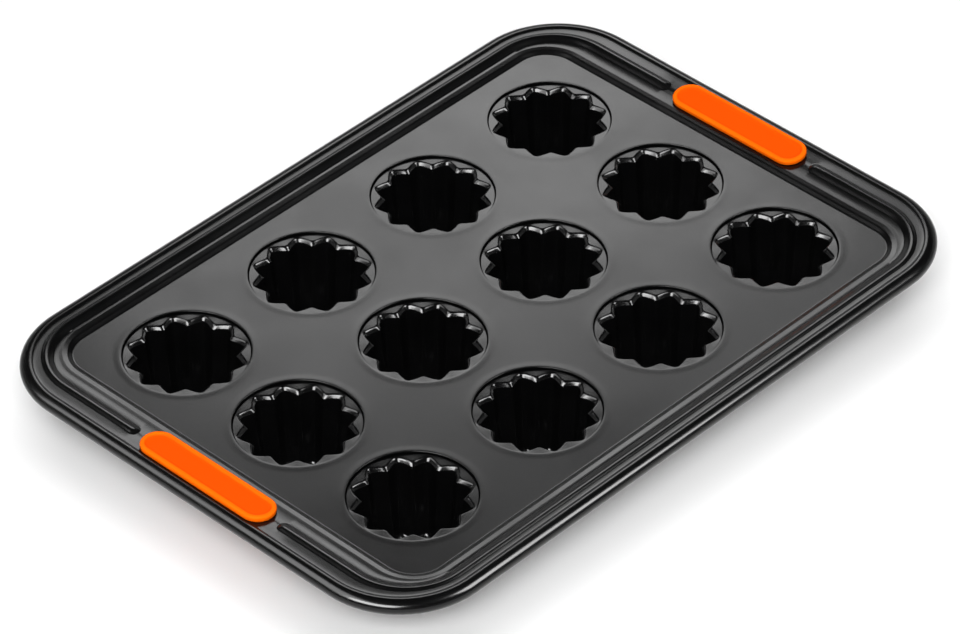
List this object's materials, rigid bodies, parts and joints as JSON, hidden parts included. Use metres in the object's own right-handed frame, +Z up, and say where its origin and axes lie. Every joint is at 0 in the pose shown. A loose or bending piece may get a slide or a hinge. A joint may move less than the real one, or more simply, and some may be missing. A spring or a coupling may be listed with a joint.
{
  "type": "canele pan",
  "caption": "Rectangular coated-steel canele pan: fluted tapering cups seamed into a flat tray with a beaded ledge, wired rolled edge and soft grips at the short ends.",
  "frame": {"origin": "on the table under the middle of the pan, level with the undersides of the cups", "axes": "+X along the pan's length from the left grip to the right grip, +Y across it, +Z up out of the cups"},
  "size_m": [0.4, 0.286, 0.0514],
  "materials": {
    "tray_coating": "dark charcoal non-stick coating, satin",
    "cup_coating": "dark charcoal non-stick coating, satin",
    "wire_steel": "bare drawn steel wire",
    "grip_silicone": "orange silicone, matt"
  },
  "bodies": {
    "root": {"tray": "tray_coating", "rim_wire": "wire_steel", "grip_left": "grip_silicone", "grip_right": "grip_silicone", "cup_1_1": "cup_coating", "cup_1_2": "cup_coating", "cup_1_3": "cup_coating", "cup_2_1": "cup_coating", "cup_2_2": "cup_coating", "cup_2_3": "cup_coating", "cup_3_1": "cup_coating", "cup_3_2": "cup_coating", "cup_3_3": "cup_coating", "cup_4_1": "cup_coating", "cup_4_2": "cup_coating", "cup_4_3": "cup_coating"}
  },
  "joints": []
}
